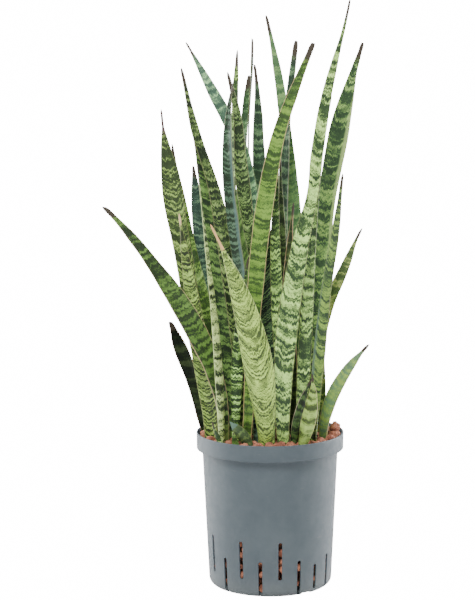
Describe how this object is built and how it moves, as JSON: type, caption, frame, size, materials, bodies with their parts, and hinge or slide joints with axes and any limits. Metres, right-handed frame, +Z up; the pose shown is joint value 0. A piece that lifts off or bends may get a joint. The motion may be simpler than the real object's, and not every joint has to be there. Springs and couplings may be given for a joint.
{
  "type": "potted snake plant",
  "caption": "Clump of tall banded sword leaves growing in red-brown clay granules, in a slotted blue-grey grow pot with a stepped rim.",
  "frame": {"origin": "middle of the pot's flat underside, on the pot's axis", "axes": "+Z up along the pot's axis, -Y to the front that the picture shows, +X to the viewer's right"},
  "size_m": [0.318, 0.1797, 0.715],
  "materials": {
    "pot_plastic": "moulded blue-grey plastic, matt with faint scuffs",
    "clay_granules": "rough porous fired clay, red-brown",
    "leaf_pale": "waxy pale green leaf with dark cross bands",
    "leaf_lime": "waxy yellow-green leaf with mid green bands",
    "leaf_green": "waxy mid green leaf with dark green bands",
    "leaf_blue": "waxy blue-green leaf with faint bands",
    "leaf_olive": "waxy olive leaf with dark mottling",
    "rhizome": "matt yellow-brown underground stem",
    "root": "matt pale root"
  },
  "bodies": {
    "root": {"granule_bed": "clay_granules", "granule_centre_front": "clay_granules", "granule_left_front": "clay_granules", "granule_right_back": "clay_granules", "granule_right_high": "clay_granules", "granule_right_low": "clay_granules", "grow_pot": "pot_plastic", "leaf_back_blue": "leaf_blue", "leaf_back_dark": "leaf_blue", "leaf_back_left_long": "leaf_pale", "leaf_back_slender": "leaf_green", "leaf_back_thin": "leaf_blue", "leaf_back_upright": "leaf_green", "leaf_behind_blue": "leaf_lime", "leaf_centre_bright": "leaf_lime", "leaf_centre_dark": "leaf_olive", "leaf_centre_olive": "leaf_olive", "leaf_centre_pale": "leaf_pale", "leaf_centre_shaded": "leaf_blue", "leaf_front_banded": "leaf_pale", "leaf_front_short": "leaf_lime", "leaf_front_short_dark": "leaf_olive", "leaf_front_wide": "leaf_pale", "leaf_left_arching": "leaf_green", "leaf_left_backing": "leaf_olive", "leaf_left_blue": "leaf_blue", "leaf_left_broad": "leaf_green", "leaf_left_edge_on": "leaf_pale", "leaf_left_inner": "leaf_green", "leaf_left_low_dark": "leaf_blue", "leaf_left_short": "leaf_lime", "leaf_left_tall": "leaf_green", "leaf_mottled": "leaf_olive", "leaf_right_arching": "leaf_green", "leaf_right_leaning": "leaf_green", "leaf_right_upright": "leaf_blue", "leaf_slender_pale": "leaf_pale", "leaf_tall_blue": "leaf_blue", "leaf_tall_right": "leaf_green", "leaf_tallest": "leaf_pale", "leaf_tallest_partner": "leaf_pale", "rhizome_back": "rhizome", "rhizome_front": "rhizome", "rhizome_mid_back": "rhizome", "rhizome_mid_front": "rhizome", "rhizome_middle": "rhizome", "root_back": "root", "root_front": "root", "root_mid_back": "root", "root_mid_front": "root", "root_middle": "root", "shoot_green": "leaf_lime", "shoot_leaning": "leaf_olive", "shoot_pointed": "leaf_pale"}
  },
  "joints": []
}
